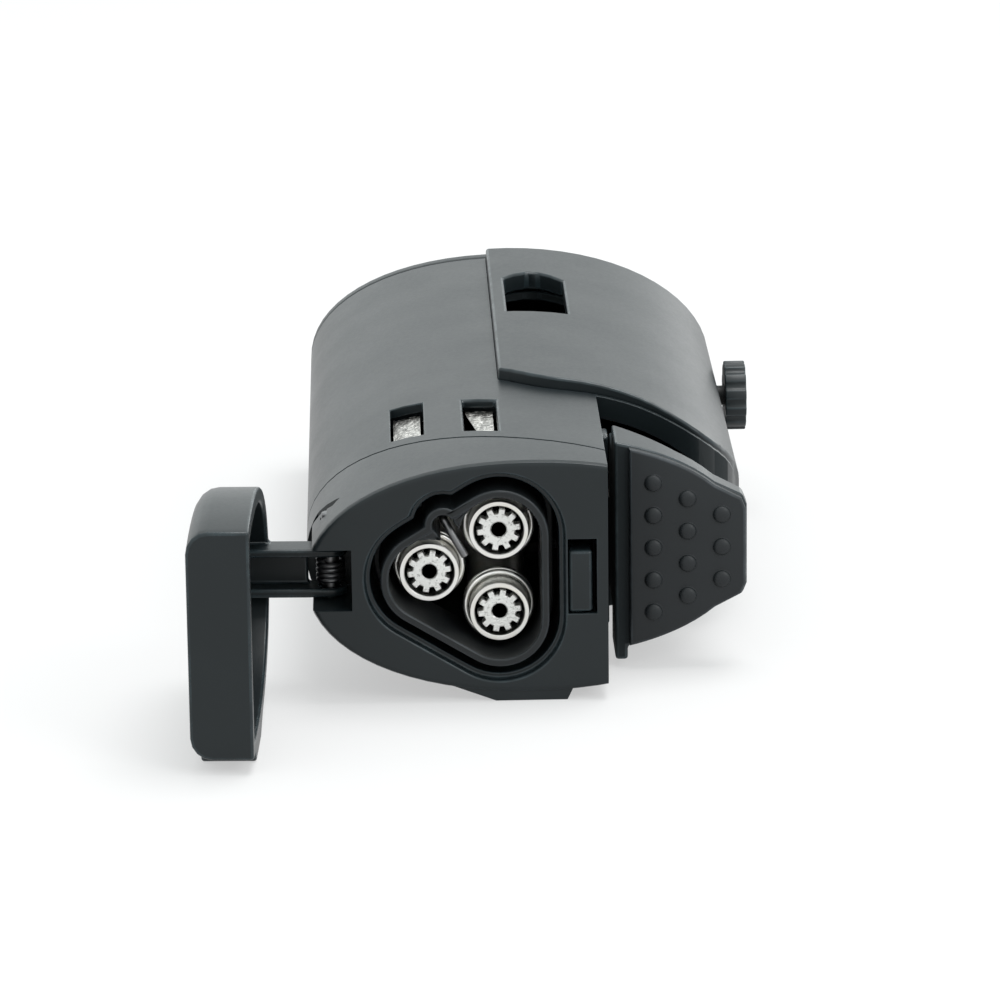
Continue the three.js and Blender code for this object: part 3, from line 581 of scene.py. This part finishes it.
def smooth_route(points, steps=8):
    """A smooth line through points."""
    route = []
    for i in range(len(points) - 1):
        p0, p1, p2, p3 = (points[min(max(i + k, 0), len(points) - 1)] for k in (-1, 0, 1, 2))
        for j in range(steps):
            t = j / steps
            bend = (2 * p0 - 5 * p1 + 4 * p2 - p3) * t**2
            twist = (3 * p1 - p0 - 3 * p2 + p3) * t**3
            route.append(0.5 * (2 * p1 + (p2 - p0) * t + bend + twist))
    return route + [points[-1]]


BURNERS = ("left", "back", "front")


def sizes():
    """The sizes that the user may change."""
    return bpy.context.scene.lighter_sizes


# ---------------------------------------------------------------- operators


class LIGHTER_OT_finishes(bpy.types.Operator):
    """Make the finishes"""

    bl_idname = "lighter.finishes"
    bl_label = "Finishes"

    def execute(self, context):
        make_finishes(context.scene.lighter_colours)
        return {"FINISHED"}


class LIGHTER_OT_casing(bpy.types.Operator):
    """Add the casing, the head and the base plate, with rounded edges"""

    bl_idname = "lighter.casing"
    bl_label = "Casing"

    def execute(self, context):
        edge = sizes().casing_edge
        moulded("casing", "body_shell", "casing", edge, merge=0.03 * MM)
        moulded("head", "head_collar", "casing", edge)
        moulded("base", "base_plate", "casing", edge)
        return {"FINISHED"}


class LIGHTER_OT_cover(bpy.types.Operator):
    """Add the cover with the fuel window"""

    bl_idname = "lighter.cover"
    bl_label = "Cover"

    def execute(self, context):
        moulded("cover", "front_cover", "cover", sizes().cover_edge, self.close_seam, clamp=False)
        return {"FINISHED"}

    def close_seam(self, bm):
        """The cover's long edge is moved up to the casing beside it."""
        seam = 0.27 * MM
        strip = 0.5 * MM
        low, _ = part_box("front_cover")
        for vert in bm.verts:
            if vert.co.x < low.x + strip:
                vert.co.x -= seam


class LIGHTER_OT_screws(bpy.types.Operator):
    """Add the base screws"""

    bl_idname = "lighter.screws"
    bl_label = "Base screws"

    def execute(self, context):
        for side in ("left", "right"):
            node = "base_screw_" + side
            rounded("screw_" + side, node, "steel", 0.08 * MM)
        return {"FINISHED"}


class LIGHTER_OT_guard(bpy.types.Operator):
    """Add the guard round the burners"""

    bl_idname = "lighter.guard"
    bl_label = "Burner guard"

    def execute(self, context):
        moulded("guard", "burner_guard", "guard", sizes().guard_edge, clamp=False)
        return {"FINISHED"}


class LIGHTER_OT_burners(bpy.types.Operator):
    """Add the three burner tubes, with chamfered mouths"""

    bl_idname = "lighter.burners"
    bl_label = "Burner tubes"

    def execute(self, context):
        for side in BURNERS:
            node = "burner_tube_" + side
            middle, size = box_of(node)
            outer = size.x / 2
            inner = outer - sizes().tube_wall
            half = size.y / 2
            lip = sizes().mouth_chamfer
            mouth = [(outer, half - lip), (outer - lip, half), (inner + lip, half), (inner, half - lip)]
            foot = [(inner, -half), (outer, -half)]
            bm = lathe(bmesh.new(), foot + mouth, middle)
            finished("tube_" + side, bm, "bright_steel", "casing", node)
        return {"FINISHED"}


class LIGHTER_OT_discs(bpy.types.Operator):
    """Add the three toothed flame discs"""

    bl_idname = "lighter.discs"
    bl_label = "Flame discs"

    def execute(self, context):
        for side in BURNERS:
            node = "flame_disc_" + side
            middle, size = box_of(node)
            bm = self.disc(size.x / 2, middle, size.y)
            finished("disc_" + side, bm, "sinter", "casing", node, smooth=math.radians(40))
        return {"FINISHED"}

    def disc(self, tip, middle, height):
        """A ring of teeth on a stem, with the jet hole down its middle."""
        teeth = 10
        root = tip - sizes().tooth_depth
        stem = root - 0.1 * MM
        jet = sizes().jet_radius
        head = 1.1 * MM
        chamfer = 0.09 * MM
        top = middle.y - height / 2
        bm = bmesh.new()
        outline = []
        for i in range(teeth):
            start = 2 * math.pi * i / teeth
            tooth = [(share, tip) for share in (0, 0.14, 0.28, 0.42)]
            for share, radius in tooth + [(0.50, root), (0.92, root)]:
                outline.append((start + share * 2 * math.pi / teeth, radius))
        rows = [
            (jet, 0, height, True),
            (jet, 0, chamfer, True),
            (jet + chamfer, 0, 0, True),
            (0, -chamfer, 0, False),
            (0, 0, chamfer, False),
            (0, 0, head, False),
            (stem, 0, head, True),
            (stem, 0, height, True),
        ]
        rings = []
        for fixed, grow, depth, plain in rows:
            ring = []
            for angle, radius in outline:
                r = fixed if plain else radius + grow
                x = middle.x + r * math.cos(angle)
                z = middle.z + r * math.sin(angle)
                ring.append(bm.verts.new((x, top + depth, z)))
            rings.append(ring)
        painted_shade = bm.faces.layers.float.new("painted_shade")
        for level, (ring, after) in enumerate(zip(rings, rings[1:] + rings[:1])):
            for k in range(len(outline)):
                j = (k + 1) % len(outline)
                side = bm.faces.new((ring[k], ring[j], after[j], after[k]))
                # painted shade: the jet bore, the underside of the teeth, the stem and the foot are
                # painted near black
                side[painted_shade] = 0.0 if 0 < level < 5 else 1.0
        return bm


class LIGHTER_OT_coils(bpy.types.Operator):
    """Add the catalyst wire coils round the burners"""

    bl_idname = "lighter.coils"
    bl_label = "Burner coils"

    def execute(self, context):
        wire = sizes().coil_wire
        for i, side in enumerate(BURNERS):
            node = "burner_coil_" + side
            middle, size = box_of(node)
            reach = max(size.x, size.z) / 2 - wire * 1.3
            foot = Vector((middle.x, middle.y + size.y / 2 - wire, middle.z))
            start = 0.6 + 1.9 * i
            turns = 1.75
            points = helix(foot, OUT, reach, start, turns, size.y - 2 * wire, 56)
            bm = swept(bmesh.new(), points, wire)
            finished("coil_" + side, bm, "bright_steel", "casing", node)
        return {"FINISHED"}


class LIGHTER_OT_electrode(bpy.types.Operator):
    """Add the spark electrode and its ceramic insulator"""

    bl_idname = "lighter.electrode"
    bl_label = "Electrode"

    def execute(self, context):
        low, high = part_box("electrode")
        stem, size = box_of("electrode_insulator")
        wire = sizes().spark_wire
        top = low.y + wire
        tip = Vector((high.x - wire, top, low.z + wire))
        base = Vector((stem.x, high.y, stem.z))
        knee = Vector((stem.x, top + 1.4 * MM, stem.z))
        bend = base.lerp(tip, 0.2)
        points = [base, base.lerp(knee, 0.5), knee, Vector((bend.x, top + 0.35 * MM, bend.z)), tip]
        bm = swept(bmesh.new(), smooth_route(points, 10), wire)
        # painted shade: the electrode gets the dark steel colour for the shade inside the burner well
        finished("spark_wire", bm, "dark_steel", "casing", "electrode")
        radius = size.x / 2
        half = size.y / 2
        bore = wire + 0.03 * MM
        lip = 0.2 * MM
        profile = [(bore, -half), (radius, -half)]
        profile += arc((radius - lip, half - lip), lip, 0, 90, 5)
        profile += [(bore, half)]
        bm = lathe(bmesh.new(), profile, stem, sides=48)
        finished("insulator", bm, "ceramic", "casing", "electrode_insulator")
        return {"FINISHED"}


class LIGHTER_OT_screens(bpy.types.Operator):
    """Add the creased silver screens behind the air windows"""

    bl_idname = "lighter.screens"
    bl_label = "Air screens"

    def execute(self, context):
        for side in ("left", "right"):
            node = "air_screen_" + side
            bm = bmesh.new()
            bm.from_mesh(frame["nodes"][node].data)
            bmesh.ops.remove_doubles(bm, verts=bm.verts, dist=0.002 * MM)
            for cuts in (6, 3):
                bmesh.ops.triangulate(bm, faces=bm.faces)
                long = [e for e in bm.edges if e.calc_length() > 0.3 * MM]
                bmesh.ops.subdivide_edges(bm, edges=long, cuts=cuts, use_grid_fill=True)
            for vert in bm.verts:
                rub = noise.noise(vert.co / (0.55 * MM)) + 0.6 * noise.noise(vert.co / (0.24 * MM))
                sink = sizes().screen_crease * (0.5 + 0.5 * rub)
                if vert.normal.z > 0.5:
                    vert.co.z -= max(0.0, sink)
            finished("screen_" + side, bm, "screen", "casing", node, smooth=math.radians(25))
        return {"FINISHED"}


class LIGHTER_OT_trigger(bpy.types.Operator):
    """Add the trigger and its bump pad"""

    bl_idname = "lighter.trigger"
    bl_label = "Trigger"

    def execute(self, context):
        moulded("trigger_shell", "trigger", "casing", sizes().cover_edge, clamp=False)
        self.pad()
        return {"FINISHED"}

    def pad(self):
        """The plate's outline comes from the frame; the bumps stand on it in three rows."""
        node = "trigger_pad"
        thick = 0.6 * MM
        rounding = 0.22 * MM
        margin = 2.0 * MM
        low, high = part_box(node)
        verts = [v.co.copy() for v in frame["nodes"][node].data.vertices]
        back = [(round(v.x, 6), round(v.z, 6)) for v in verts if high.y - v.y < 0.01 * MM]
        middle = (low + high) / 2
        outline = sorted(set(back), key=lambda p: math.atan2(p[1] - middle.z, p[0] - middle.x))
        bm = bmesh.new()
        face = bm.faces.new([bm.verts.new((x, high.y, z)) for x, z in outline])
        raised = bmesh.ops.extrude_face_region(bm, geom=[face])
        front = [v for v in raised["geom"] if isinstance(v, bmesh.types.BMVert)]
        bmesh.ops.translate(bm, verts=front, vec=OUT * thick)
        rim = [e for e in bm.edges if all(v in front for v in e.verts)]
        # the rounded rim is marked; its finish paints a highlight on it
        mark = bm.faces.layers.float.new("edge")
        made = bmesh.ops.bevel(bm, geom=rim, offset=rounding, segments=3, profile=0.5, affect="EDGES")
        for side in made["faces"]:
            side[mark] = 1.0
        radius = sizes().bump_radius
        rise = high.y - low.y - thick
        first = low.x + margin
        last = high.x - margin
        for row, count in enumerate((5, 4, 3)):
            x = first + (last - first) * row / 2
            for i in range(count):
                z = middle.z + (i - (count - 1) / 2) * sizes().bump_pitch
                self.bump(bm, Vector((x, high.y - thick, z)), radius, rise)
        finished("bump_pad", bm, "grip", "trigger", node)

    def bump(self, bm, foot, radius, rise):
        """A round dome with a small fillet at its foot."""
        toe = 0.08 * MM
        steps = 9
        profile = [(radius + toe, 0.0), (radius + toe * 0.3, toe * 0.3)]
        profile += [
            (radius * math.cos(a), toe + (rise - toe) * math.sin(a))
            for a in (math.radians(86 * i / steps) for i in range(steps + 1))
        ]
        rings = []
        sides = 28
        for r, h in profile:
            ring = []
            for k in range(sides):
                angle = 2 * math.pi * k / sides
                spoke = Vector((r * math.cos(angle), 0, r * math.sin(angle)))
                ring.append(bm.verts.new(foot + OUT * h + spoke))
            rings.append(ring)
        for ring, after in zip(rings, rings[1:]):
            for k in range(sides):
                j = (k + 1) % sides
                bm.faces.new((ring[k], ring[j], after[j], after[k]))
        bm.faces.new(rings[-1])
        bm.faces.new(rings[0])


class LIGHTER_OT_latch(bpy.types.Operator):
    """Add the lid latch beside the burners"""

    bl_idname = "lighter.latch"
    bl_label = "Latch"

    def execute(self, context):
        rounded("lid_catch", "latch", "casing", sizes().cover_edge)
        return {"FINISHED"}


class LIGHTER_OT_adjuster(bpy.types.Operator):
    """Add the flame adjuster's knob and stem"""

    bl_idname = "lighter.adjuster"
    bl_label = "Flame adjuster"

    def execute(self, context):
        rounded("knob", "adjuster_knob", "cover", 0.16 * MM, sharp=math.radians(40))
        rounded("knob_stem", "adjuster_stem", "dark_plastic", 0.10 * MM, sharp=math.radians(60))
        rounded("regulator", "flame_regulator", "brass", 0.15 * MM)
        return {"FINISHED"}


class LIGHTER_OT_lid(bpy.types.Operator):
    """Add the lid and the rubber liner inside it"""

    bl_idname = "lighter.lid"
    bl_label = "Lid"

    def execute(self, context):
        moulded("lid", "lid_shell", "casing", sizes().casing_edge, clamp=False)
        rounded("liner", "lid_liner", "rubber", 0.10 * MM)
        return {"FINISHED"}


class LIGHTER_OT_hinge(bpy.types.Operator):
    """Add the hinge pin and the lid spring"""

    bl_idname = "lighter.hinge"
    bl_label = "Hinge"

    def execute(self, context):
        middle, size = box_of("hinge_pin")
        radius = size.x / 2
        half = size.z / 2
        axis = 0.001 * MM
        chamfer = 0.1 * MM
        round_end = 0.2 * MM
        profile = [(axis, -half), (radius - chamfer, -half), (radius, -half + chamfer)]
        profile += arc((radius - round_end, half - round_end), round_end, 0, 85, 6) + [(axis, half)]
        # painted shade: the pin is dark so that the notch it shows through reads as shaded
        finished("pin", lathe(bmesh.new(), profile, middle, UP, 64), "dark_steel", "casing", "hinge_pin")
        middle, size = box_of("lid_spring")
        wire = 0.21 * MM
        foot = middle - UP * (size.z / 2 - wire)
        reach = size.x / 2 - wire
        start = 0.3
        turns = 4.5
        points = helix(foot, UP, reach, start, turns, size.z - 2 * wire, 44)
        spring = swept(bmesh.new(), points, wire, 10)
        finished("lid_return_spring", spring, "dark_steel", "casing", "lid_spring")
        return {"FINISHED"}


class LIGHTER_OT_trigger_spring(bpy.types.Operator):
    """Add the trigger's return spring"""

    bl_idname = "lighter.trigger_spring"
    bl_label = "Trigger spring"

    def execute(self, context):
        middle, size = box_of("trigger_spring")
        wire = 0.24 * MM
        foot = middle - OUT * (size.y / 2 - wire)
        reach = size.x / 2 - wire
        turns = 6
        points = helix(foot, OUT, reach, 0, turns, size.y - 2 * wire)
        bm = swept(bmesh.new(), points, wire, 10)
        piece = finished("return_spring", bm, "steel", "casing", "trigger_spring")
        travel = next(j for j in frame["joints"] if j["name"] == "trigger_slide")["range_m"][1]
        1 - travel / size.y
        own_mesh(piece)
        return {"FINISHED"}


class LIGHTER_OT_fuel(bpy.types.Operator):
    """Add the tank and the valves"""

    bl_idname = "lighter.fuel"
    bl_label = "Tank and valves"

    def execute(self, context):
        rounded("tank", "fuel_tank", "smoked", 0.45 * MM)
        rounded("valve", "gas_valve", "brass", 0.12 * MM)
        rounded("valve_pin", "valve_stem", "brass", 0.10 * MM)
        rounded("filler", "refill_valve", "brass", 0.10 * MM)
        rounded("filler_pin", "refill_stem", "steel", 0.06 * MM)
        rounded("gas_block", "burner_block", "steel", 0.15 * MM)
        rounded("hose", "gas_hose", "rubber", 0.05 * MM, sharp=math.radians(60))
        return {"FINISHED"}


class LIGHTER_OT_igniter(bpy.types.Operator):
    """Add the lever, its bracket and the piezo igniter"""

    bl_idname = "lighter.igniter"
    bl_label = "Lever and igniter"

    def execute(self, context):
        rounded("bracket", "valve_bracket", "steel", 0.12 * MM)
        rounded("lever", "valve_lever", "steel", 0.12 * MM)
        rounded("lever_axle", "lever_pin", "steel", 0.08 * MM)
        rounded("igniter", "piezo_case", "dark_plastic", 0.25 * MM)
        rounded("igniter_plunger", "piezo_plunger", "dark_plastic", 0.15 * MM)
        rounded("spark_lead", "ignition_lead", "rubber", 0.04 * MM, sharp=math.radians(60))
        return {"FINISHED"}


class LIGHTER_OT_stage(bpy.types.Operator):
    """Add the floor, the lights and the camera"""

    bl_idname = "lighter.stage"
    bl_label = "Stage"

    def execute(self, context):
        stage = context.scene.lighter_stage
        self.floor(stage)
        self.lights(stage)
        self.camera(stage)
        context.scene.view_settings.view_transform = "Standard"
        return {"FINISHED"}

    def floor(self, stage):
        half = 6.0
        bm = bmesh.new()
        bmesh.ops.create_grid(bm, x_segments=1, y_segments=1, size=half)
        mesh = bpy.data.meshes.new("floor")
        bm.to_mesh(mesh)
        bm.free()
        floor = bpy.data.objects.new("floor", mesh)
        bpy.context.scene.collection.objects.link(floor)
        white = (1, 1, 1, 1)
        finish = Finish("pale floor", roughness=0.95, emission_strength=stage.glow, emission_color=white)
        finish.shader.inputs["Specular IOR Level"].default_value = 0.1
        tint = finish.noise(0.4, 2)
        tone = tuple(stage.floor)
        mesh.materials.append(finish.feed(Base_Color=finish.mixed(tint, shade(tone, 0.995), tone)))

    def lights(self, stage):
        self.softbox("softbox overhead", stage.key, (0.10, 0.04, 0.55), 0.30)
        self.softbox("softbox right", stage.fill, (0.50, 0.90, 0.20), 0.36)
        self.softbox("softbox front", stage.front, (0.42, -0.42, 0.40), 0.26)
        world = bpy.data.worlds.new("pale room")
        world.use_nodes = True
        back = world.node_tree.nodes["Background"]
        back.inputs["Color"].default_value = (*stage.room, 1)
        back.inputs["Strength"].default_value = stage.world
        bpy.context.scene.world = world

    def softbox(self, name, watts, spot, side):
        """A square lamp that faces the middle of the lighter."""
        target = (0, 0, 0.01)
        light = bpy.data.lights.new(name, "AREA")
        light.energy = watts
        light.size = side
        lamp = bpy.data.objects.new(name, light)
        bpy.context.scene.collection.objects.link(lamp)
        lamp.location = spot
        lamp.rotation_euler = (Vector(target) - Vector(spot)).to_track_quat("-Z", "Y").to_euler()

    def camera(self, stage):
        """Looks at a point below the near end of the base, from the burner side."""
        az, el, roll = stage.azimuth, stage.elevation, stage.roll
        ahead = Vector((math.sin(az) * math.cos(el), math.cos(az) * math.cos(el), -math.sin(el)))
        right = Vector((math.cos(az), -math.sin(az), 0))
        up = right.cross(ahead)
        side = right * math.cos(roll) + up * math.sin(roll)
        top = up * math.cos(roll) - right * math.sin(roll)
        base, size = box_of("base_plate")
        aside = 0.81 * MM
        below = 3.65 * MM
        target = Vector((base.x - aside, base.y + size.y / 2, -below))
        lens = bpy.data.cameras.new("camera")
        lens.sensor_width = 36
        lens.lens = stage.lens
        lens.clip_start = 0.01
        lens.clip_end = 50
        camera = bpy.data.objects.new("camera", lens)
        bpy.context.scene.collection.objects.link(camera)
        spot = target - ahead * stage.distance
        turned = Matrix((side, top, -ahead)).transposed()
        camera.matrix_world = Matrix.Translation(spot) @ turned.to_4x4()
        bpy.context.scene.camera = camera


STEPS = (
    LIGHTER_OT_finishes,
    LIGHTER_OT_stage,
    LIGHTER_OT_casing,
    LIGHTER_OT_cover,
    LIGHTER_OT_screws,
    LIGHTER_OT_guard,
    LIGHTER_OT_burners,
    LIGHTER_OT_discs,
    LIGHTER_OT_coils,
    LIGHTER_OT_electrode,
    LIGHTER_OT_screens,
    LIGHTER_OT_trigger,
    LIGHTER_OT_latch,
    LIGHTER_OT_adjuster,
    LIGHTER_OT_lid,
    LIGHTER_OT_hinge,
    LIGHTER_OT_trigger_spring,
    LIGHTER_OT_fuel,
    LIGHTER_OT_igniter,
)


class LIGHTER_PT_panel(bpy.types.Panel):
    """The lighter's sizes, colours and pieces"""

    bl_idname = "LIGHTER_PT_panel"
    bl_label = "Torch lighter"
    bl_space_type = "VIEW_3D"
    bl_region_type = "UI"
    bl_category = "Lighter"

    def draw(self, context):
        for group in (getattr(context.scene, name) for name in GROUPS):
            box = self.layout.box()
            for name in group.__annotations__:
                box.prop(group, name)
        for step in STEPS:
            self.layout.operator(step.bl_idname)


GROUPS = {
    "lighter_sizes": LighterSizes,
    "lighter_colours": LighterColours,
    "lighter_stage": StageSettings,
}


def register():
    for cls in (*GROUPS.values(), *STEPS, LIGHTER_PT_panel):
        bpy.utils.register_class(cls)
    for name, group in GROUPS.items():
        setattr(bpy.types.Scene, name, PointerProperty(type=group))


def unregister():
    for name in GROUPS:
        delattr(bpy.types.Scene, name)
    for cls in reversed((*GROUPS.values(), *STEPS, LIGHTER_PT_panel)):
        bpy.utils.unregister_class(cls)


def main():
    register()
    for step in STEPS:
        group, name = step.bl_idname.split(".")
        getattr(getattr(bpy.ops, group), name)()


if __name__ == "__main__":
    main()
